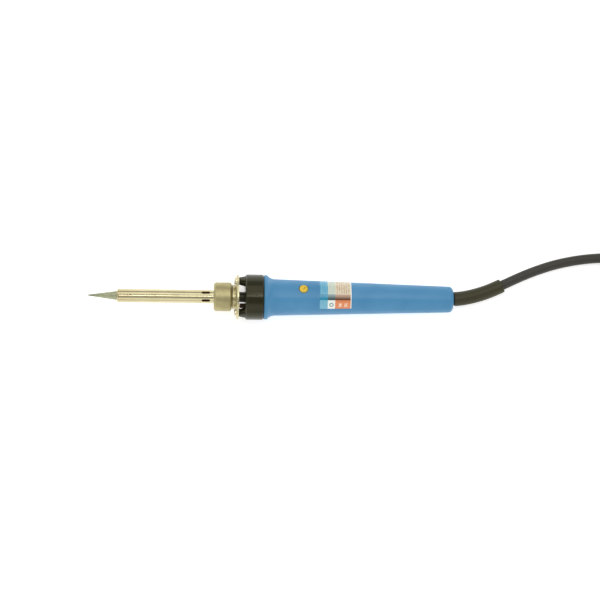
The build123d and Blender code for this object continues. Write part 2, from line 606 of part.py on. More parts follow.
with BuildPart() as smoothing_capacitor:
    with BuildSketch(board_plane(CAN_STATION, 0, BOARD_TOP)):
        Circle(CAN_R)
    extrude(amount=CAN_HEIGHT)
    fillet(edges().group_by(Axis(on_axis(0), radial(DIAL_ANGLE)))[-1], CAN_CORNER)

RESISTOR_STATION, RESISTOR_PITCH, RESISTOR_COUNT = 124.5, 3.8, 5
RESISTOR_R, RESISTOR_LENGTH, RESISTOR_ACROSS, RESISTOR_HEIGHT, RESISTOR_CORNER = 1.1, 5.4, -2.0, -3.5, 0.3
DIODE_STATION, DIODE_PITCH, DIODE_COUNT, DIODE_R, DIODE_LENGTH = 122.2, 2.6, 3, 1.0, 4.4
with BuildPart() as resistors:
    for number in range(RESISTOR_COUNT):
        station = RESISTOR_STATION + RESISTOR_PITCH * number
        resistor_end = board_point(station, RESISTOR_ACROSS, RESISTOR_HEIGHT)
        with BuildSketch(Plane(origin=resistor_end, x_dir=ALONG, z_dir=radial(DIAL_ANGLE + 90))):
            Circle(RESISTOR_R)
        extrude(amount=RESISTOR_LENGTH)
        chamfer(edges().filter_by(GeomType.CIRCLE).sort_by_distance(resistor_end)[:1], RESISTOR_CORNER)

with BuildPart() as diodes:
    for number in range(DIODE_COUNT):
        across = DIODE_PITCH * (number - (DIODE_COUNT - 1) / 2)
        diode_end = board_point(DIODE_STATION, across, BOARD_TOP + DIODE_R + 0.1)
        with BuildSketch(Plane(origin=diode_end, x_dir=SIDE, z_dir=ALONG)):
            Circle(DIODE_R)
        extrude(amount=DIODE_LENGTH)

# ---- the mains cord: route, boot, hank, tie and plug ------------------------------------------
# The first two points lie on the tool axis; from there the cord bends aside and sinks to the
# table.  It ends in the hank, which is a long narrow winding pinched at its waist by the tie,
# and the tail leaves the top of the hank for the plug.
CORD_ROUTE = [
    (102.5, 0.0, 8.467),
    (114.0, 0.0, 7.874),
    (125.6, 2.1, 7.28),
    (136.9, 6.0, 6.70),
    (147.8, 11.4, 6.10),
    (161.0, 17.4, 5.30),
    (176.5, 22.8, 4.50),
    (193.0, 26.1, 3.95),
    (209.0, 27.4, 3.80),
    (223.5, 27.7, 3.80),
    (236.5, 27.3, 3.80),
]
TAIL_ROUTE = [
    (308.5, 24.1, 15.9),
    (320.5, 22.9, 15.8),
    (331.2, 18.6, 15.0),
    (340.2, 12.8, 12.6),
    (349.4, 8.0, 10.3),
    (360.0, 4.6, 8.9),
]
BOOT_END = (143.2, 9.12, 6.353)
RETAINER_FRONT, RETAINER_REAR, RETAINER_R = 216.4, 219.3, 4.0
BOOT_FLANGE_FRONT, BOOT_FLANGE_R, BOOT_EASE, BOOT_CUT_FRONT = 219.5, 5.3, 0.03, 210.0
print("cord bend radii", [round(radius) for radius in bend_radii(CORD_ROUTE)])
print("tail bend radii", [round(radius) for radius in bend_radii(TAIL_ROUTE)])

with BuildPart() as mains_cord:
    add(wire_along(CORD_ROUTE, CORD_R))

with BuildPart() as cord_tail:
    add(wire_along(TAIL_ROUTE, CORD_R))

with BuildPart() as cord_boot:
    boot_route = CORD_ROUTE[:4] + [BOOT_END]
    with BuildLine() as boot_path:
        FilletPolyline(*boot_route, radius=bend_radii(CORD_ROUTE)[:3])
    with BuildSketch(Plane(origin=boot_path.line @ 0, z_dir=boot_path.line % 0)):
        Circle(BOOT_R)
    with BuildSketch(Plane(origin=boot_path.line @ 1, z_dir=boot_path.line % 1)):
        Circle(BOOT_END_R)
    sweep(multisection=True)
    for front, rear, bore in (
        (BOOT_CUT_FRONT, BOOT_FLANGE_FRONT, 0),
        (cavity_rear, HANDLE_REAR, CORD_HOLE_R - BOOT_EASE),
    ):
        revolve(cylinder_outline(front, rear, HANDLE_RIM_R, bore), axis=TOOL_AXIS, mode=Mode.SUBTRACT)
    revolve(cylinder_outline(BOOT_FLANGE_FRONT, cavity_rear, BOOT_FLANGE_R), axis=TOOL_AXIS)
    add(mains_cord.part, mode=Mode.SUBTRACT)

with BuildPart() as cord_retainer:
    revolve(cylinder_outline(RETAINER_FRONT, RETAINER_REAR, RETAINER_R, CORD_R), axis=TOOL_AXIS)

CORE_R = 0.9
core_start = (CORD_ROUTE[0][0] - TIP_POINT.X) / ALONG.X - 0.1
with BuildPart() as cord_cores:
    for across in (-3.0, 3.0):
        side = across / abs(across)
        add(wire_along([
            board_point(core_start, side * 1.15, 0.4),
            board_point(205.0, side * 1.2, 0.5),
            board_point(186.0, across * 0.8, 0.9),
            board_point(TERMINAL_REAR + TERMINAL_R + 0.05, across, lead_height + 0.2),
        ], CORE_R))
    add(wire_along([
        board_point(core_start, 0, -1.5),
        board_point(206.0, -0.2, -1.7),
        board_point(198.5, -1.6, -3.0),
        board_point(SPLICE_REAR, SPLICE_ACROSS, SPLICE_HEIGHT),
    ], CORE_R))

# The hank's outline: two round ends joined by hollow arcs that pass the tie.
bundle_half = STRAND_GAP + CORD_R
end_r, waist = HANK_FOLD_R + bundle_half, HANK_WAIST + bundle_half
hollow_r = (HANK_REACH**2 + waist**2 - end_r**2) / (2 * (end_r - waist))
touch = end_r / (end_r + hollow_r)
touch_u, touch_v = HANK_REACH * (1 - touch), (waist + hollow_r) * touch
hank_height = 2 * CORD_R * HANK_LAYERS
with BuildPart() as cord_hank:
    with BuildSketch(Plane(origin=(*HANK_CENTRE, TIE_THICK))):
        with BuildLine():
            for side in (-1, 1):
                ThreePointArc((-touch_u, side * touch_v), (0, side * waist), (touch_u, side * touch_v))
                reach = side * (HANK_REACH + end_r)
                ThreePointArc((side * touch_u, -touch_v), (reach, 0), (side * touch_u, touch_v))
        make_face()
        with Locations((-HANK_REACH, 0), (HANK_REACH, 0)):
            Circle(HANK_FOLD_R - CORD_R, mode=Mode.SUBTRACT)
    extrude(amount=hank_height)
    fillet(edges().group_by(Axis.Z)[0] + edges().group_by(Axis.Z)[-1], CORD_R - 0.1)

with BuildPart() as cord_tie:
    tie_centre = (HANK_CENTRE[0] - TIE_WIDTH / 2, HANK_CENTRE[1], TIE_THICK + hank_height / 2)
    tie_width = 2 * waist + TIE_EASE
    with BuildSketch(Plane(origin=tie_centre, x_dir=(0, 1, 0), z_dir=(1, 0, 0))):
        RectangleRounded(tie_width + 2 * TIE_THICK, hank_height + 2 * TIE_THICK, CORD_R)
        RectangleRounded(tie_width, hank_height, CORD_R - TIE_THICK, mode=Mode.SUBTRACT)
    extrude(amount=TIE_WIDTH)

# The plug lies on its flat side, its pins pointing away from the cord.
PLUG_WIDTH, PLUG_DEPTH, PLUG_LENGTH, PLUG_RELIEF = 26.0, 23.0, 28.0, 14.0
BLADE_SPACING, BLADE_WIDTH, BLADE_THICK, BLADE_LENGTH = 12.7, 6.35, 1.52, 17.5
PIN_DROP, PIN_R, PIN_ROOT_R, PIN_LENGTH, PIN_NOSE, PLUG_ROOT = 11.9, 2.38, 1.9, 20.0, 1.6, 9.0
RELIEF_R, RELIEF_REAR_R, RELIEF_HEIGHT = CORD_R + 0.8, CORD_R + 2.4, 9.6
SHOULDER_WIDTH, SHOULDER_DEPTH, SHOULDER_ROUND = 13.0, 12.0, 4.5
CHEST_WIDTH, CHEST_DEPTH, CHEST_DISTANCE, CHEST_HEIGHT, PLUG_ROUND = 22.0, 18.0, 9.0, 10.9, 6.0
RIM_LENGTH = 5.0
plug_dir = Vector(cos(radians(PLUG_HEADING)), sin(radians(PLUG_HEADING)), 0)
plug_across = Vector(-plug_dir.Y, plug_dir.X, 0)
plug_rear = Vector(*TAIL_ROUTE[-1])
plug_mid_height = PLUG_DEPTH / 2
BLADE_HEIGHT = plug_mid_height + 5.0


def plug_plane(distance, height, across=0.0):
    """Plane square to the plug's length, at a distance from where the cord enters it."""
    base = Vector(plug_rear.X, plug_rear.Y, height)
    return Plane(origin=base + plug_dir * distance + plug_across * across, x_dir=plug_across, z_dir=plug_dir)


with BuildPart() as plug_body:
    shoulder = PLUG_RELIEF
    face = PLUG_RELIEF + PLUG_LENGTH
    with BuildSketch(plug_plane(shoulder, RELIEF_HEIGHT)):
        RectangleRounded(SHOULDER_WIDTH, SHOULDER_DEPTH, SHOULDER_ROUND)
    with BuildSketch(plug_plane(shoulder + CHEST_DISTANCE, CHEST_HEIGHT)):
        RectangleRounded(CHEST_WIDTH, CHEST_DEPTH, PLUG_ROUND)
    with BuildSketch(plug_plane(face - RIM_LENGTH, plug_mid_height)):
        RectangleRounded(PLUG_WIDTH, PLUG_DEPTH, PLUG_ROUND)
    loft()
    with BuildSketch(plug_plane(face - RIM_LENGTH, plug_mid_height)):
        RectangleRounded(PLUG_WIDTH, PLUG_DEPTH, PLUG_ROUND)
    extrude(amount=RIM_LENGTH)
    with BuildSketch(plug_plane(0, plug_rear.Z)):
        Circle(RELIEF_R)
    with BuildSketch(plug_plane(shoulder, RELIEF_HEIGHT)):
        Circle(RELIEF_REAR_R)
    loft()
    for blade_side in (-1, 1):
        with BuildSketch(plug_plane(face - PLUG_ROOT, BLADE_HEIGHT, blade_side * BLADE_SPACING / 2)):
            Rectangle(BLADE_THICK, BLADE_WIDTH)
        extrude(amount=PLUG_ROOT, mode=Mode.SUBTRACT)
    with BuildSketch(plug_plane(face - PLUG_ROOT, BLADE_HEIGHT - PIN_DROP)):
        Circle(PIN_ROOT_R)
    extrude(amount=PLUG_ROOT, mode=Mode.SUBTRACT)

with BuildPart() as plug_blades:
    for blade_side in (-1, 1):
        with BuildSketch(plug_plane(face - PLUG_ROOT, BLADE_HEIGHT, blade_side * BLADE_SPACING / 2)):
            Rectangle(BLADE_THICK, BLADE_WIDTH)
        extrude(amount=PLUG_ROOT + BLADE_LENGTH)

with BuildPart() as plug_earth_pin:
    with BuildSketch(plug_plane(face - PLUG_ROOT, BLADE_HEIGHT - PIN_DROP)):
        Circle(PIN_ROOT_R)
    extrude(amount=PLUG_ROOT)
    with BuildSketch(plug_plane(face, BLADE_HEIGHT - PIN_DROP)):
        Circle(PIN_R)
    extrude(amount=PIN_LENGTH)
    fillet(edges().sort_by(Axis(plug_rear, plug_dir))[-1], PIN_NOSE)

pieces = {
    "soldering_tip": soldering_tip,
    "barrel_sleeve": barrel_sleeve,
    "sleeve_nut": sleeve_nut,
    "threaded_nipple": threaded_nipple,
    "flange_plate": flange_plate,
    "plate_screws": plate_screws,
    "threaded_inserts": threaded_inserts,
    "insulating_collar": insulating_collar,
    "heater_element": heater_element,
    "heater_base": heater_base,
    "heater_leads": heater_leads,
    "sensor_leads": sensor_leads,
    "earth_tag": earth_tag,
    "earth_rivet": earth_rivet,
    "earth_lead": earth_lead,
    "earth_sleeve": earth_sleeve,
    "earth_splice": earth_splice,
    "handle_shell": handle_shell,
    "rating_label": rating_label,
    "circuit_board": circuit_board,
    "potentiometer": potentiometer,
    "dial_shaft": dial_shaft,
    "temperature_dial": temperature_dial,
    "board_terminals": board_terminals,
    "control_chip": control_chip,
    "triac": triac,
    "triac_tab": triac_tab,
    "film_capacitor": film_capacitor,
    "smoothing_capacitor": smoothing_capacitor,
    "resistors": resistors,
    "diodes": diodes,
    "mains_cord": mains_cord,
    "cord_tail": cord_tail,
    "cord_boot": cord_boot,
    "cord_retainer": cord_retainer,
    "cord_cores": cord_cores,
    "cord_hank": cord_hank,
    "cord_tie": cord_tie,
    "plug_body": plug_body,
    "plug_blades": plug_blades,
    "plug_earth_pin": plug_earth_pin,
}
for name, piece in pieces.items():
    save(piece.part, name)
print("lean", LEAN, "tip point", TIP_POINT)
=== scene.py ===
import json
from math import asin, atan2, cos, pi, radians, sin
import bmesh
import bpy
from mathutils import Matrix, Vector


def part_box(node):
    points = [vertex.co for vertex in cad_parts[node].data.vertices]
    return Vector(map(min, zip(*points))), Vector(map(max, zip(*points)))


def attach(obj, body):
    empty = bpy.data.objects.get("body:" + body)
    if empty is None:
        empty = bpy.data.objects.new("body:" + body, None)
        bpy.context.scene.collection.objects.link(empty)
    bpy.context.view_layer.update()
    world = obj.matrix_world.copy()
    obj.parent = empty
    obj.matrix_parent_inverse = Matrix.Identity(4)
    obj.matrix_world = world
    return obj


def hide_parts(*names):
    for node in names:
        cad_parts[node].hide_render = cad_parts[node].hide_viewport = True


# The soldering iron's looks, in metres, in the CAD model's frame: +X from tip to cord, +Z up.
# A station is a distance along the tool axis from the point of the tip. An angle round
# that axis is 0 on top and grows towards +Y.
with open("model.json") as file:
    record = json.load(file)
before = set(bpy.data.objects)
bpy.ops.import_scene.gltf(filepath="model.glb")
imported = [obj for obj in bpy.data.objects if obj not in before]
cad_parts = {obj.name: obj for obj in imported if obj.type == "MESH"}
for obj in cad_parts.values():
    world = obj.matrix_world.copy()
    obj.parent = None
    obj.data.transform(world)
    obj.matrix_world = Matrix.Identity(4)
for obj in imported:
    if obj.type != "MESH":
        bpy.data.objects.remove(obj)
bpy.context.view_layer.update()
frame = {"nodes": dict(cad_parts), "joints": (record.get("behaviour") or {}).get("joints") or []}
MM = 0.001

# ---- the tool axis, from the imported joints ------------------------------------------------
joints = {joint["name"]: joint for joint in frame["joints"]}
ALONG = -Vector(joints["tip_pull"]["axis"]).normalized()
UP = ALONG.cross(Vector((0, 1, 0))).normalized()
LEAN = asin(-ALONG.z)
nut_centre = Vector(joints["nut_turn"]["pos_m"])
TIP_POINT = nut_centre + ALONG * ((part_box("soldering_tip")[0].x - nut_centre.x) / ALONG.x)


def station_of(point):
    """Station of a point along the tool axis."""
    return (Vector(point) - TIP_POINT).dot(ALONG)


# ---- camera: straight above, with a long lens and a slight roll -----------------------------
FIELD = 0.372
SENSOR_WIDTH = 36.0
CAMERA_HEIGHT = 1.6
CAMERA_AIM = Vector((0.0179, -0.0014, 0.012))
CAMERA_ROLL = radians(0.72)
CAMERA_CLIP = 20.0
camera_data = bpy.data.cameras.new("camera")
camera_data.type = "PERSP"
camera_data.sensor_width = SENSOR_WIDTH
camera_data.lens = SENSOR_WIDTH * CAMERA_HEIGHT / FIELD
camera_data.clip_end = CAMERA_CLIP
camera = bpy.data.objects.new("camera", camera_data)
bpy.context.scene.collection.objects.link(camera)
camera.location = CAMERA_AIM + Vector((0, 0, CAMERA_HEIGHT))
camera.rotation_euler = (0, 0, CAMERA_ROLL)
bpy.context.scene.camera = camera

# ---- the mains cord, as one spline ---------------------------------------------------------------
CORD_DIAMETER = 0.006
# The route from the handle to the hank, the hank and the tail are in millimetres.
CORD_ROUTE = [
    (102.5, 0.0, 8.467),
    (114.0, 0.0, 7.874),
    (125.6, 2.1, 7.28),
    (136.9, 6.0, 6.70),
    (147.8, 11.4, 6.10),
    (161.0, 17.4, 5.30),
    (176.5, 22.8, 4.50),
    (193.0, 26.1, 3.95),
    (209.0, 27.4, 3.80),
    (223.5, 27.7, 3.80),
    (236.5, 27.3, 3.80),
]
TAIL_ROUTE = [
    (308.5, 24.1, 15.9),
    (320.5, 22.9, 15.8),
    (331.2, 18.6, 15.0),
    (340.2, 12.8, 12.6),
    (349.4, 8.0, 10.3),
    (360.0, 4.6, 8.9),
]
HANK_CENTRE = (272.5, 3.0)
HANK_REACH, HANK_FOLD_R, HANK_WAIST = 36.0, 18.3, 5.0
STRAND_GAP, STRAND_LOW, LAYER_RISE, CROSSING_DIP = 6.1, 3.8, 6.0, 0.7
TOP_CLIMB = radians(60)
# Control points on each of a turn's arcs: half a fold, a waist, the far fold, a waist, the rest.
ARC_POINTS = (2, 5, 10, 5, 8)
POINTS_PER_TURN, LAST_POINT = sum(ARC_POINTS), 128
# The stretches, in turns from the start, where the cord moves over to the next place.
INWARD, LIFT, OUTWARD, CLIMB = (0.87, 1.0), (1.73, 1.87), (2.57, 2.73), (3.37, 3.6)


def hank_arcs():
    """One turn, clockwise from above: each arc's centre, radius, growth, angles and points."""
    hollow_r = (HANK_REACH**2 + HANK_WAIST**2 - HANK_FOLD_R**2) / (2 * (HANK_FOLD_R - HANK_WAIST))
    hollow_v = HANK_WAIST + hollow_r
    slant = atan2(hollow_v, HANK_REACH)
    arcs = [
        (-HANK_REACH, 0, HANK_FOLD_R, 1, pi / 2, slant),
        (0, hollow_v, hollow_r, -1, slant - pi, -slant),
        (HANK_REACH, 0, HANK_FOLD_R, 1, pi - slant, slant - pi),
        (0, -hollow_v, hollow_r, -1, slant, pi - slant),
        (-HANK_REACH, 0, HANK_FOLD_R, 1, -slant, -1.5 * pi),
    ]
    return [(*arc, count) for arc, count in zip(arcs, ARC_POINTS)]


def smooth_step(value, start, end):
    """0 before a stretch, 1 after it, and a smooth rise along it."""
    share = min(max((value - start) / (end - start), 0), 1)
    return share * share * (3 - 2 * share)


def strand_place(turns):
    """How far out of the innermost loop, and how high, the cord lies after a number of turns."""
    inward = smooth_step(turns, *INWARD)
    lift = smooth_step(turns, *LIFT)
    outward = smooth_step(turns, *OUTWARD)
    climb = TOP_CLIMB * smooth_step(turns, *CLIMB)
    offset = STRAND_GAP * (1 - inward + outward) * cos(climb)
    height = STRAND_LOW + LAYER_RISE * lift - CROSSING_DIP * sin(pi * outward) + STRAND_GAP * sin(climb)
    return offset, height


def hank_points():
    """The hank: two turns below, two on them and the start of a fifth on top, wound round two ends."""
    arcs = hank_arcs()
    points = []
    for number in range(1, LAST_POINT + 1):
        offset, height = strand_place(number / POINTS_PER_TURN)
        step = (number - 1) % POINTS_PER_TURN + 1
        for centre_u, centre_v, inner_r, growth, start, end, count in arcs:
            if step <= count:
                break
            step -= count
        radius = inner_r + growth * offset
        spacing = abs(end - start) / count
        polygon_r = radius * (1 + spacing**2 / 8)
        angle = start + (end - start) * step / count
        points.append((
            HANK_CENTRE[0] + centre_u + polygon_r * cos(angle),
            HANK_CENTRE[1] + centre_v + polygon_r * sin(angle),
            height,
        ))
    return points


CORD_RESOLUTION, GUIDE_RESOLUTION, CORD_ROUNDNESS = 8, 12, 6


def nurbs_curve(name, points, radius, resolution):
    """A round cord on one open NURBS spline, its points given in millimetres; radius 0 is a bare line."""
    data = bpy.data.curves.new(name, "CURVE")
    data.dimensions = "3D"
    spline = data.splines.new("NURBS")
    spline.points.add(len(points) - 1)
    for control, place in zip(spline.points, points):
        control.co = (place[0] * MM, place[1] * MM, place[2] * MM, 1.0)
        control.radius = radius
    spline.order_u = 3
    spline.use_endpoint_u = True
    spline.resolution_u = resolution
    data.bevel_depth = 1.0 if radius else 0.0
    data.bevel_resolution = CORD_ROUNDNESS
    data.use_fill_caps = radius > 0
    curve = bpy.data.objects.new(name, data)
    bpy.context.scene.collection.objects.link(curve)
    return curve


def spline_path(points):
    """Points read along a NURBS route, in metres."""
    guide = nurbs_curve("guide", points, 0.0, GUIDE_RESOLUTION)
    mesh = bpy.data.meshes.new_from_object(guide)
    path = [vertex.co.copy() for vertex in mesh.vertices]
    bpy.data.objects.remove(guide)
    bpy.data.meshes.remove(mesh)
    return path


cord_points = CORD_ROUTE + hank_points() + TAIL_ROUTE
cord = nurbs_curve("cord_flex", cord_points, CORD_DIAMETER / 2, CORD_RESOLUTION)
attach(cord, "handle")
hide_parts("mains_cord", "cord_hank", "cord_tail")

# ---- making meshes ------------------------------------------------------------------------------


def mesh_object(name, build):
    """A smooth-shaded mesh object, its geometry made by build(bm)."""
    bm = bmesh.new()
    build(bm)
    bmesh.ops.recalc_face_normals(bm, faces=bm.faces)
    mesh = bpy.data.meshes.new(name)
    bm.to_mesh(mesh)
    bm.free()
    for polygon in mesh.polygons:
        polygon.use_smooth = True
    piece = bpy.data.objects.new(name, mesh)
    bpy.context.scene.collection.objects.link(piece)
    return piece


def skin(bm, rings):
    """Faces between rings of points, with a cap on each end."""
    rows = [[bm.verts.new(point) for point in ring] for ring in rings]
    for low, high in zip(rows, rows[1:]):
        for here in range(len(low)):
            there = (here + 1) % len(low)
            bm.faces.new((low[here], low[there], high[there], high[here]))
    bm.faces.new(rows[0])
    bm.faces.new(rows[-1])


def tube_rings(path, profile, segments):
    """Rings of a round tube along a path; profile lists distances and radii along it."""
    lengths = [0.0]
    for before, after in zip(path, path[1:]):
        lengths.append(lengths[-1] + (after - before).length)

    def spot(distance):
        """The point and the heading at a distance along the path."""
        for number in range(1, len(path)):
            if distance <= lengths[number] or number == len(path) - 1:
                span = lengths[number] - lengths[number - 1]
                share = (distance - lengths[number - 1]) / span
                heading = (path[number] - path[number - 1]).normalized()
                return path[number - 1].lerp(path[number], share), heading

    rings = []
    normal = UP.copy()
    for distance, radius in profile:
        centre, heading = spot(distance)
        normal = (normal - heading * normal.dot(heading)).normalized()
        binormal = heading.cross(normal)
        rings.append([
            centre + (normal * cos(2 * pi * k / segments) + binormal * sin(2 * pi * k / segments)) * radius
            for k in range(segments)
        ])
    return rings


# ---- node materials --------------------------------------------------------------------------------


def srgb(red, green, blue):
    """A display colour, 0 to 255, as linear light."""
    light = [
        ((value / 255 + 0.055) / 1.055) ** 2.4 if value > 10 else value / 255 / 12.92
        for value in (red, green, blue)
    ]
    return (*light, 1)


def scaled_colour(colour, factor):
    """A linear colour made darker or lighter, no brighter than white."""
    return (*(min(value * factor, 1) for value in colour[:3]), 1)


NOISE_ROUGHNESS = 0.55


class Look:
    """A node material while it is being put together."""

    def __init__(self, name, colour, roughness, metallic=0.0, **constants):
        self.material = bpy.data.materials.new(name)
        self.material.use_nodes = True
        self.tree = self.material.node_tree
        self.shader = self.tree.nodes["Principled BSDF"]
        self.shader.inputs["Base Color"].default_value = colour
        self.shader.inputs["Roughness"].default_value = roughness
        self.shader.inputs["Metallic"].default_value = metallic
        for socket, value in constants.items():
            self.shader.inputs[socket.replace("_", " ")].default_value = value
        self.material.diffuse_color = colour
        self.bumps = None
        self._places = None

    def node(self, kind, inputs=(), **settings):
        """A node with its settings; an input is a number, a colour or another node's output."""
        made = self.tree.nodes.new("ShaderNode" + kind)
        for name, value in settings.items():
            setattr(made, name, value)
        for name, value in dict(inputs).items():
            socket = made.inputs[name]
            if isinstance(value, bpy.types.NodeSocket):
                self.tree.links.new(value, socket)
            else:
                socket.default_value = value
        return made

    def places(self):
        """Object coordinates, which stay with the piece when it moves."""
        if self._places is None:
            self._places = self.node("TexCoord").outputs["Object"]
        return self._places

    def tool_places(self):
        """Coordinates along the tool axis: station, side and up."""
        shift = -(Matrix.Rotation(-LEAN, 3, "Y") @ TIP_POINT)
        inputs = {"Vector": self.places(), "Rotation": (0, -LEAN, 0), "Location": shift}
        return self.node("Mapping", inputs).outputs[0]

    def scaled(self, vector, scale):
        """A vector stretched along its axes."""
        return self.node("Mapping", {"Vector": vector, "Scale": scale}).outputs[0]

    def noise(self, vector, scale, detail=4.0):
        """Noise from 0 to 1."""
        inputs = {"Vector": vector, "Scale": scale, "Detail": detail, "Roughness": NOISE_ROUGHNESS}
        return self.node("TexNoise", inputs).outputs["Fac"]

    def math(self, operation, first, second=0.0):
        """One sum on two values."""
        return self.node("Math", {0: first, 1: second}, operation=operation).outputs[0]

    def spread(self, value, low, high, to_low=0.0, to_high=1.0):
        """A value mapped from one range to another, and held at its ends."""
        inputs = {0: value, 1: low, 2: high, 3: to_low, 4: to_high}
        return self.node("MapRange", inputs, clamp=True).outputs[0]

    def mix(self, first, second, share):
        """A colour between two colours."""
        made = self.node("Mix", data_type="RGBA")
        for number, value in ((0, share), (6, first), (7, second)):
            if isinstance(value, bpy.types.NodeSocket):
                self.tree.links.new(value, made.inputs[number])
            else:
                made.inputs[number].default_value = value
        return made.outputs[2]

    def between(self, value, low, high, soft=0.0):
        """1 where a value lies between two limits, with soft edges if asked."""
        if soft:
            rising = self.spread(value, low - soft, low + soft)
            falling = self.spread(value, high - soft, high + soft, 1.0, 0.0)
        else:
            rising = self.math("GREATER_THAN", value, low)
            falling = self.math("LESS_THAN", value, high)
        return self.math("MULTIPLY", rising, falling)

    def set(self, socket, value):
        """Link a value to one of the shader's sockets."""
        self.tree.links.new(value, self.shader.inputs[socket])

    def bump(self, height, distance, strength):
        """Add relief of a real depth in metres."""
        inputs = {"Height": height, "Distance": distance, "Strength": strength}
        if self.bumps is not None:
            inputs["Normal"] = self.bumps
        self.bumps = self.node("Bump", inputs).outputs[0]
        self.set("Normal", self.bumps)


# ---- floor and light -------------------------------------------------------------------------------
scene = bpy.context.scene
scene.view_settings.view_transform = "Standard"
FLOOR_GLOW, FLOOR_HALF, FLOOR_DROP = 0.5, 6.0, 0.0004
# Brightness of the surroundings by the height and by the +Y part of the direction.
OVERHEAD = ((0.0, 1.0), (0.80, 0.95), (0.88, 0.14), (1.0, 0.14))
SIDEWAYS = ((0.0, 1.0), (0.30, 0.95), (0.55, 0.6), (1.0, 0.6))
WORLD_STRENGTH, WORLD_BLUE = 0.88, 0.99
# Name, place, aim, size, watts and colour.
LIGHTS = [
    ("key", (-0.25, 1.0, 1.15), (0, 0, 0), (1.8, 0.9), 4.6, (1, 1, 1)),
    ("fill", (0.1, -1.2, 0.9), (0, 0, 0), (1.8, 0.8), 1.6, (1, 1, 1)),
    ("barrel_strip", (-0.05, 0.09, 1.0), (-0.05, 0.0, 0.0), (0.2, 0.2), 0.5, (1.0, 1.0, 1.0)),
    ("barrel_fill", (-0.05, -0.30, 1.0), (-0.05, 0.0, 0.0), (0.2, 0.5), 0.14, (1.0, 1.0, 0.97)),
    ("grip_glow", (0.115, 0.14, 0.55), (0.015, 0.0, 0.01), (0.05, 0.2), 0.35, (0.95, 0.98, 1.0)),
    ("grip_band", (0.37, 0.5, 1.3), (0.05, 0.0, 0.0), (0.5, 0.4), 1.8, (0.97, 0.99, 1.0)),
]


def make_floor():
    """A plain pale floor under the object, lit a little from behind like a light table."""
    def build(bm):
        bmesh.ops.create_grid(bm, x_segments=1, y_segments=1, size=FLOOR_HALF)

    floor = mesh_object("floor", build)
    floor.location.z = -FLOOR_DROP
    look = Look(
        "floor_paper", srgb(250, 250, 248), 0.9,
        Specular_IOR_Level=0.1, Emission_Color=(1, 1, 1, 1), Emission_Strength=FLOOR_GLOW,
    )
    grain = look.noise(look.places(), 40.0, 2.0)
    look.set("Base Color", look.mix(srgb(251, 251, 250), srgb(248, 248, 247), grain))
    floor.data.materials.append(look.material)


def area_light(name, place, aim, size, power, colour):
    """A soft rectangular light turned towards a point."""
    data = bpy.data.lights.new(name, "AREA")
    data.shape = "RECTANGLE"
    data.size, data.size_y = size
    data.energy = power
    data.color = colour
    light = bpy.data.objects.new(name, data)
    scene.collection.objects.link(light)
    light.location = place
    light.rotation_mode = "QUATERNION"
    light.rotation_quaternion = (Vector(aim) - Vector(place)).to_track_quat("-Z", "Y")


def make_world():
    """White surroundings, dark straight overhead where the camera stands and dimmer towards +Y."""
    world = bpy.data.worlds.new("studio")
    scene.world = world
    world.use_nodes = True
    tree = world.node_tree
    background = tree.nodes["Background"]
    sight = tree.nodes.new("ShaderNodeTexCoord")
    split = tree.nodes.new("ShaderNodeSeparateXYZ")
    overhead = tree.nodes.new("ShaderNodeValToRGB")
    sideways = tree.nodes.new("ShaderNodeValToRGB")
    both = tree.nodes.new("ShaderNodeVectorMath")
    both.operation = "MULTIPLY"
    tree.links.new(sight.outputs["Generated"], split.inputs[0])
    tree.links.new(split.outputs["Z"], overhead.inputs[0])
    tree.links.new(split.outputs["Y"], sideways.inputs[0])
    tree.links.new(overhead.outputs[0], both.inputs[0])
    tree.links.new(sideways.outputs[0], both.inputs[1])
    tree.links.new(both.outputs[0], background.inputs[0])
    for ramp, stops in ((overhead, OVERHEAD), (sideways, SIDEWAYS)):
        elements = ramp.color_ramp.elements
        while len(elements) < len(stops):
            elements.new(0.5)
        for element, (position, value) in zip(elements, stops):
            element.position = position
            element.color = (value, value, value * WORLD_BLUE, 1)
    background.inputs[1].default_value = WORLD_STRENGTH


make_floor()
make_world()
for light_row in LIGHTS:
    area_light(*light_row)
nodes = frame["nodes"]


def dress(name, look):
    """Give a CAD node a finished material in place of its plain one."""
    for slot in nodes[name].material_slots:
        slot.material = look.material


# ---- metals ---------------------------------------------------------------------------------------
SCRATCH_DEPTH = 2e-6
RING_SCALE, SMUDGE_SCALE, STREAK_SCALE = 9000.0, 160.0, 2500.0


def metal(name, colour, roughness, turned=0.0, scratch=0.25, uneven=0.04):
    """Plated metal with fine turning rings round the tool axis and small scratches."""
    look = Look(name, colour, roughness, 1.0)
    tool = look.tool_places()
    smudge = look.noise(look.places(), SMUDGE_SCALE)
    streak = look.noise(look.scaled(tool, (0.06, 1, 1)), STREAK_SCALE, 3.0)
    dirt = look.spread(smudge, 0.4, 0.75)
    look.set("Base Color", look.mix(colour, scaled_colour(colour, 0.82), dirt))
    rough = look.spread(smudge, 0.3, 0.8, roughness - uneven, roughness + 2 * uneven)
    look.set("Roughness", look.math("ADD", rough, look.math("MULTIPLY", streak, uneven)))
    if turned:
        rings = look.noise(look.scaled(tool, (1, 0.02, 0.02)), RING_SCALE, 2.0)
        look.bump(rings, turned, 0.6)
    if scratch:
        look.bump(streak, SCRATCH_DEPTH, scratch)
    return look


# Stations, in metres, where the heat shows, and for the heater where brown painted shade is laid on it.
WORN_POINT = (0.8 * MM, 8 * MM)
STRAW_TINT = (18 * MM, 34 * MM)
HEATER_PAINTED_SHADE, PAINTED_SHADE_FADE = (30 * MM, 79 * MM), 4 * MM
# The barrel's painted shade: its inside, behind its nose and within this radius, is painted dark brown as
# shade.
BARREL_NOSE, BARREL_INSIDE_R = 19.5 * MM, 3.9 * MM


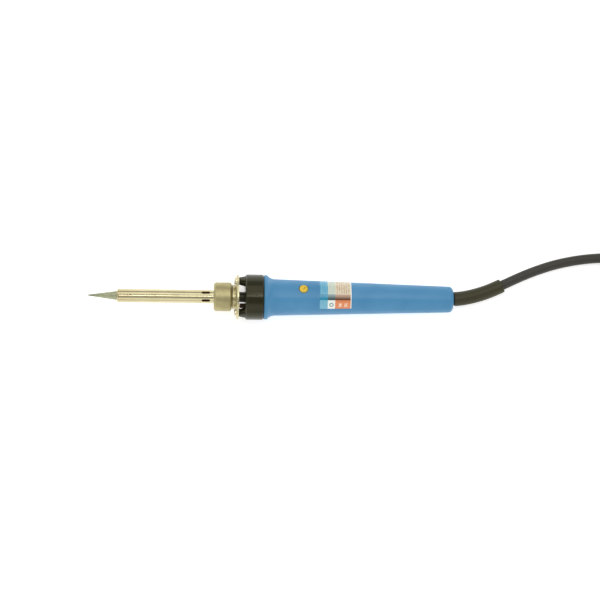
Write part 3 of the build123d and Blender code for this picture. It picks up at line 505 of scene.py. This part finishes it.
def dress_tip():
    """Pitted plating, darker at the worn point."""
    tip = Look("tip_plating_look", srgb(172, 175, 142), 0.5, 0.4)
    station = tip.node("SeparateXYZ", {0: tip.tool_places()}).outputs[0]
    mottle = tip.noise(tip.places(), 1100.0, 5.0)
    specks = tip.noise(tip.places(), 3200.0, 3.0)
    cone = tip.mix(srgb(190, 192, 160), srgb(150, 154, 122), tip.spread(mottle, 0.35, 0.65))
    pitted = tip.mix(cone, srgb(112, 114, 92), tip.spread(specks, 0.58, 0.72, 0.0, 0.6))
    point = tip.spread(station, *WORN_POINT, 0.75, 0.0)
    tip.set("Base Color", tip.mix(pitted, srgb(122, 122, 104), point))
    tip.set("Roughness", tip.spread(mottle, 0.3, 0.75, 0.4, 0.62))
    tip.bump(mottle, 3.0e-5, 0.6)
    dress("soldering_tip", tip)


def dress_barrel():
    """Smooth steel, straw-tinted at its hot nose, with dark brown painted shade inside."""
    steel, straw = srgb(208, 198, 160), srgb(190, 168, 122)
    barrel = metal("barrel_steel_look", steel, 0.18, scratch=0.0, uneven=0.01)
    station, side, up = barrel.node("SeparateXYZ", {0: barrel.tool_places()}).outputs
    squares = [barrel.math("MULTIPLY", part, part) for part in (side, up)]
    radius = barrel.math("SQRT", barrel.math("ADD", *squares))
    tinted = barrel.mix(steel, straw, barrel.spread(station, *STRAW_TINT, 0.35, 0.0))
    smudge = barrel.spread(barrel.noise(barrel.places(), 120.0), 0.45, 0.7)
    bright = barrel.mix(tinted, srgb(202, 191, 153), smudge)
    within = barrel.math("LESS_THAN", radius, BARREL_INSIDE_R)
    inside = barrel.math("MULTIPLY", within, barrel.math("GREATER_THAN", station, BARREL_NOSE))
    # Painted shade: the inside of the barrel, seen through the vents, is painted dark brown.
    barrel.set("Base Color", barrel.mix(bright, srgb(96, 72, 48), inside))
    dress("barrel_sleeve", barrel)


def dress_nut():
    """Fine flutes along the nut, over its turning rings."""
    nut = metal("nut_nickel_look", srgb(180, 170, 127), 0.46, turned=6e-6)
    flutes = nut.noise(nut.scaled(nut.tool_places(), (0.02, 1, 1)), 2600.0, 2.0)
    nut.bump(flutes, 1.2e-5, 0.5)
    dress("sleeve_nut", nut)


def dress_metals():
    """Every metal piece."""
    dress_tip()
    dress_barrel()
    dress_nut()
    dress("threaded_nipple", metal("nipple_nickel_look", srgb(184, 173, 132), 0.34, turned=4e-6))
    dress("flange_plate", metal("plate_steel_look", srgb(206, 196, 156), 0.28, scratch=0.6))
    dress("plate_screws", metal("screw_steel_look", srgb(222, 214, 184), 0.24, scratch=0.5))
    dress("threaded_inserts", metal("insert_brass_look", srgb(206, 170, 96), 0.3, turned=4e-6))
    dress("earth_tag", metal("tag_brass_look", srgb(214, 200, 160), 0.3))
    dress("earth_rivet", metal("rivet_steel_look", srgb(225, 220, 205), 0.25))
    dress("cord_retainer", metal("retainer_steel_look", srgb(215, 214, 208), 0.3))
    dress("board_terminals", metal("terminal_tin_look", srgb(220, 220, 215), 0.3))
    dress("triac_tab", metal("tab_copper_look", srgb(208, 203, 190), 0.32))
    dress("plug_blades", metal("blade_brass_look", srgb(214, 200, 150), 0.28, scratch=0.6))
    dress("plug_earth_pin", metal("pin_brass_look", srgb(214, 200, 150), 0.26, scratch=0.6))


# ---- plastics, rubber, ceramic ---------------------------------------------------------------------
OLIVE = (0.95, 0.92, 0.62, 1.0)
GRAIN_DEPTH = 6e-6
CLOUD_SCALE, PEEL_SCALE = 60.0, 2000.0


def moulded(name, colour, roughness, grain=1.0, tone=0.12, **constants):
    """Moulded plastic: faint cloudiness, fine orange-peel grain and uneven gloss."""
    look = Look(name, colour, roughness, **constants)
    cloud = look.noise(look.places(), CLOUD_SCALE, 3.0)
    peel = look.noise(look.places(), PEEL_SCALE, 3.0)
    darker, lighter = scaled_colour(colour, 1 - tone), scaled_colour(colour, 1 + tone)
    look.set("Base Color", look.mix(darker, lighter, look.spread(cloud, 0.3, 0.7)))
    look.set("Roughness", look.spread(peel, 0.3, 0.7, roughness - 0.05, roughness + 0.07))
    look.bump(peel, GRAIN_DEPTH * grain, 0.6)
    return look


def dress_heater():
    """White ceramic, with brown painted shade between two stations where it shows through the barrel's
    vents.
    """
    white = srgb(238, 234, 222)
    heater = moulded("heater_ceramic_look", white, 0.5, tone=0.06)
    shade_mottle = heater.noise(heater.places(), 500.0)
    station = heater.node("SeparateXYZ", {0: heater.tool_places()}).outputs[0]
    # Painted shade: the heater is darkened brown along this stretch, mottled a little.
    painted_shade_band = heater.between(station, *HEATER_PAINTED_SHADE, PAINTED_SHADE_FADE)
    share = heater.math("MULTIPLY", painted_shade_band, heater.spread(shade_mottle, 0.2, 0.5, 0.75, 1.0))
    heater.set("Base Color", heater.mix(white, srgb(120, 92, 62), share))
    dress("heater_element", heater)


def dress_plastics():
    """Collar, dial, heater, plug, tie and the parts inside the handle."""
    dress_heater()
    dress("insulating_collar", moulded(
        "collar_resin_look", srgb(34, 33, 20), 0.2, grain=0.5, tone=0.2,
        Specular_IOR_Level=0.36, Specular_Tint=OLIVE,
    ))
    dress("temperature_dial", moulded("dial_yellow_look", srgb(232, 196, 62), 0.34, tone=0.08))
    dress("dial_shaft", moulded("shaft_resin_look", srgb(228, 224, 210), 0.4))
    dress("heater_base", moulded("base_ceramic_look", srgb(230, 225, 212), 0.6, tone=0.06))
    dress("heater_leads", moulded("glass_sleeving_look", srgb(232, 228, 212), 0.8, grain=6.0))
    dress("sensor_leads", moulded("red_sleeving_look", srgb(190, 70, 50), 0.75, grain=6.0))
    dress("earth_lead", moulded("earth_insulation_look", srgb(92, 70, 48), 0.5))
    dress("earth_sleeve", moulded("brown_sleeving_look", srgb(74, 54, 36), 0.7, grain=6.0))
    dress("earth_splice", moulded("splice_sleeve_look", srgb(60, 110, 185), 0.35))
    dress("circuit_board", moulded("board_laminate_look", srgb(44, 110, 66), 0.35))
    dress("potentiometer", moulded("pot_case_look", srgb(46, 86, 150), 0.4))
    dress("control_chip", moulded("chip_epoxy_look", srgb(40, 40, 42), 0.5))
    dress("triac", moulded("triac_epoxy_look", srgb(42, 42, 42), 0.45))
    dress("film_capacitor", moulded("film_case_look", srgb(180, 60, 44), 0.3))
    dress("smoothing_capacitor", moulded("can_sleeve_look", srgb(70, 78, 92), 0.3))
    dress("resistors", moulded("resistor_coat_look", srgb(204, 182, 140), 0.45))
    dress("diodes", moulded("diode_epoxy_look", srgb(46, 44, 44), 0.4))
    dress("cord_cores", moulded("core_insulation_look", srgb(150, 98, 58), 0.45))
    dress("plug_body", moulded("plug_rubber_look", srgb(50, 49, 46), 0.5, grain=4.0))
    dress("cord_tie", moulded("tie_strap_look", srgb(46, 46, 50), 0.85, grain=20.0))


def dress_handle():
    """Satin blue plastic with a fine sparkle-eroded grain and faint handling marks."""
    look = Look("handle_blue_look", srgb(88, 143, 186), 0.42, Specular_IOR_Level=0.38)
    cloud = look.noise(look.places(), 45.0)
    grain = look.noise(look.places(), 2600.0, 3.0)
    rub = look.noise(look.scaled(look.tool_places(), (0.25, 1, 1)), 260.0, 5.0)
    base = look.mix(srgb(68, 132, 176), srgb(80, 144, 187), look.spread(cloud, 0.3, 0.7))
    rubbed = look.mix(base, srgb(104, 158, 198), look.spread(rub, 0.62, 0.85, 0.0, 0.25))
    look.set("Base Color", rubbed)
    look.set("Roughness", look.spread(rub, 0.3, 0.8, 0.38, 0.5))
    look.bump(grain, 1.0e-5, 0.5)
    dress("handle_shell", look)


# The label's print: columns are shares of its length, rows are angles round the tool axis.
# Lengths here are in millimetres, and one degree of the label is so many of them wide.
LABEL_LENGTH, LABEL_EDGE, DEGREE_WIDTH = 19.55, 0.3, 0.178
TEAL_END, CREAM_END, BORDER = 0.254, 0.486, 0.975
TEAL, CREAM, RED = (-0.1, TEAL_END), (TEAL_END, CREAM_END), (CREAM_END, BORDER)
BAND_LOW, BAND_TOP = -7.0, 13.0
PRINT_LOW, PRINT_TOP = -60, 140
UPPER, BAND, LOWER = (BAND_TOP, PRINT_TOP), (BAND_LOW, BAND_TOP), (PRINT_LOW, BAND_LOW)
BAR_ROWS, LOW_BAR_ROWS = (BAND_TOP + 2, 108), (-34, BAND_LOW - 4)
BAR_LANE, BAR_STRENGTH, BAR_GAPS = (0.28, 0.66), 0.6, 0.32
DASH_DEGREES, DASH_SHARE = 9.0 / 3.1, 0.05 / 3.1
RING_PLACE, RING_RADII = ((TEAL_END + CREAM_END) / 2, -24.0), (0.75, 1.3)
BLOT_COLUMNS, BLOT_ROWS = ((0.60, 0.69), (0.78, 0.88)), (-32, -17)


class Print:
    """The label's print while it is being laid out on its look."""

    def __init__(self, look, share, angle):
        self.look, self.share, self.angle = look, share, angle
        self.grain = look.noise(look.places(), 900.0)
        self.colour = self.grained(srgb(226, 216, 188), srgb(214, 202, 172))

    def grained(self, first, second):
        """A colour that wavers between two."""
        return self.look.mix(first, second, self.look.spread(self.grain, 0.35, 0.7))

    def field(self, columns, rows):
        """1 inside a rectangle of the print."""
        columns_mask = self.look.between(self.share, *columns)
        return self.look.math("MULTIPLY", columns_mask, self.look.between(self.angle, *rows))

    def lay(self, colour, mask):
        """Put a colour on the print through a mask."""
        self.colour = self.look.mix(self.colour, colour, mask)

    def bars(self, colour, columns, rows, count, across, seed):
        """Rows of short marks that stand for lettering."""
        look = self.look
        value, limits = (self.share, columns) if across else (self.angle, rows)
        other, dash_step = (self.angle, DASH_DEGREES) if across else (self.share, DASH_SHARE)
        lanes = look.math("MULTIPLY", look.spread(value, *limits), count)
        line = look.between(look.math("FRACT", lanes), *BAR_LANE)
        cell = look.node("CombineXYZ", {
            0: look.math("SNAP", other, dash_step),
            1: look.math("FLOOR", lanes),
            2: seed,
        }).outputs[0]
        chance = look.node("TexWhiteNoise", {"Vector": cell}, noise_dimensions="3D").outputs["Value"]
        lines = look.math("MULTIPLY", self.field(columns, rows), line)
        mask = look.math("MULTIPLY", lines, look.math("GREATER_THAN", chance, BAR_GAPS))
        self.lay(colour, look.math("MULTIPLY", mask, BAR_STRENGTH))

    def ring(self, colour, place, radii):
        """A ring; its place is a share and an angle, its radii are in millimetres."""
        look = self.look
        along = look.math("MULTIPLY", look.math("SUBTRACT", self.share, place[0]), LABEL_LENGTH)
        around = look.math("MULTIPLY", look.math("SUBTRACT", self.angle, place[1]), DEGREE_WIDTH)
        squares = [look.math("MULTIPLY", part, part) for part in (along, around)]
        self.lay(colour, look.between(look.math("SQRT", look.math("ADD", *squares)), *radii))


def dress_label():
    """Printed film: colour blocks and generic bars, laid out by station and angle."""
    low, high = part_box("rating_label")
    front = station_of((low.x, 0, (low.z + high.z) / 2)) + LABEL_EDGE * MM
    look = Look("label_film_look", srgb(228, 219, 192), 0.3, Coat_Weight=0.15, Coat_Roughness=0.3)
    station, side, up = look.node("SeparateXYZ", {0: look.tool_places()}).outputs
    share = look.spread(station, front, front + LABEL_LENGTH * MM)
    angle = look.math("MULTIPLY", look.math("ARCTAN2", side, up), 180 / pi)
    sheet = Print(look, share, angle)

    sheet.lay(srgb(82, 164, 198), sheet.field(TEAL, UPPER))
    sheet.bars(srgb(150, 200, 214), (0.02, 0.24), BAR_ROWS, 3, True, 1.0)
    sheet.lay(sheet.grained(srgb(30, 142, 176), srgb(20, 130, 164)), sheet.field(TEAL, BAND))
    sheet.lay(srgb(122, 186, 208), sheet.field(TEAL, LOWER))
    sheet.bars(srgb(92, 158, 196), (0.03, 0.22), LOW_BAR_ROWS, 4, False, 2.0)
    sheet.lay(srgb(204, 212, 198), sheet.field(CREAM, UPPER))
    sheet.bars(srgb(150, 178, 166), (0.28, 0.46), BAR_ROWS, 4, True, 3.0)
    sheet.bars(srgb(176, 106, 80), (0.52, 0.95), BAR_ROWS, 6, True, 4.0)
    fade = look.spread(angle, *BAND)
    sheet.lay(look.mix(srgb(20, 52, 62), srgb(116, 144, 144), fade), sheet.field(CREAM, BAND))
    sheet.lay(look.mix(srgb(76, 36, 16), srgb(180, 140, 106), fade), sheet.field(RED, BAND))
    sheet.lay(srgb(240, 243, 236), sheet.field(CREAM, LOWER))
    sheet.ring(srgb(84, 128, 132), RING_PLACE, RING_RADII)
    sheet.lay(srgb(228, 138, 90), sheet.field(RED, LOWER))
    blot = look.spread(look.noise(look.places(), 1500.0, 2.0), 0.42, 0.5)
    for columns in BLOT_COLUMNS:
        sheet.lay(srgb(246, 216, 192), look.math("MULTIPLY", sheet.field(columns, BLOT_ROWS), blot))
    sheet.lay(srgb(240, 238, 230), sheet.field((BORDER, 1.2), (PRINT_LOW, PRINT_TOP)))
    look.set("Base Color", sheet.colour)
    look.set("Roughness", look.spread(sheet.grain, 0.3, 0.7, 0.26, 0.36))
    look.bump(sheet.grain, 4e-6, 0.5)
    dress("rating_label", look)


# ---- the strain relief -------------------------------------------------------------------------------
BOOT_INSET, BOOT_LENGTH, BOOT_NECK_LENGTH = 4.5 * MM, 36.5 * MM, 4.8 * MM
BOOT_NECK_R, BOOT_BODY_R, BOOT_TAIL_R = 3.85 * MM, 4.43 * MM, 4.37 * MM
BOOT_CHAMFER, BOOT_ROUND, BOOT_END = 0.2 * MM, 0.6 * MM, 1 * MM
NECK_BEVEL, CORD_GAP = 0.5 * MM, 0.3 * MM
BOOT_ROUTE = CORD_ROUTE[:7]
BOOT_STEPS, ROUND_STEPS, BOOT_SEGMENTS = 24, 6, 48


def boot_profile(start):
    """Distances and radii along the boot: a neck in the handle, a taper and a rounded end."""
    neck_end = start + BOOT_NECK_LENGTH
    taper_start = neck_end + 2 * BOOT_CHAMFER
    end = start + BOOT_LENGTH
    profile = [
        (start, BOOT_NECK_R - NECK_BEVEL),
        (start + BOOT_CHAMFER, BOOT_NECK_R),
        (neck_end, BOOT_NECK_R),
        (neck_end + BOOT_CHAMFER, BOOT_BODY_R),
    ]
    for step in range(BOOT_STEPS + 1):
        share = step / BOOT_STEPS
        distance = taper_start + (end - BOOT_END - taper_start) * share
        profile.append((distance, BOOT_BODY_R + (BOOT_TAIL_R - BOOT_BODY_R) * share))
    for step in range(1, ROUND_STEPS):
        turn = pi / 2 * step / ROUND_STEPS
        radius = BOOT_TAIL_R - BOOT_ROUND * (1 - cos(turn))
        profile.append((end - BOOT_END + BOOT_ROUND * sin(turn), radius))
    profile.append((end - CORD_GAP, CORD_DIAMETER / 2 + CORD_GAP))
    return profile


def make_boot():
    """The strain relief: a smooth tapered sleeve round the first stretch of cord."""
    path = spline_path(BOOT_ROUTE)
    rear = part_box("handle_shell")[1].x
    profile = boot_profile((rear - BOOT_INSET - path[0].x) / ALONG.x)
    rings = tube_rings(path, profile, BOOT_SEGMENTS)
    sleeve = mesh_object("cord_boot_sleeve", lambda bm: skin(bm, rings))
    look = moulded("boot_rubber_look", srgb(46, 44, 30), 0.5, grain=4.0, tone=0.14, Specular_Tint=OLIVE)
    sleeve.data.materials.append(look.material)
    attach(sleeve, "handle")
    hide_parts("cord_boot")
    return sleeve


cord_look = moulded("cord_rubber_look", srgb(48, 46, 38), 0.55, grain=4.0, tone=0.15)
cord.data.materials.append(cord_look.material)
boot = make_boot()
dress_metals()
dress_plastics()
dress_handle()
dress_label()
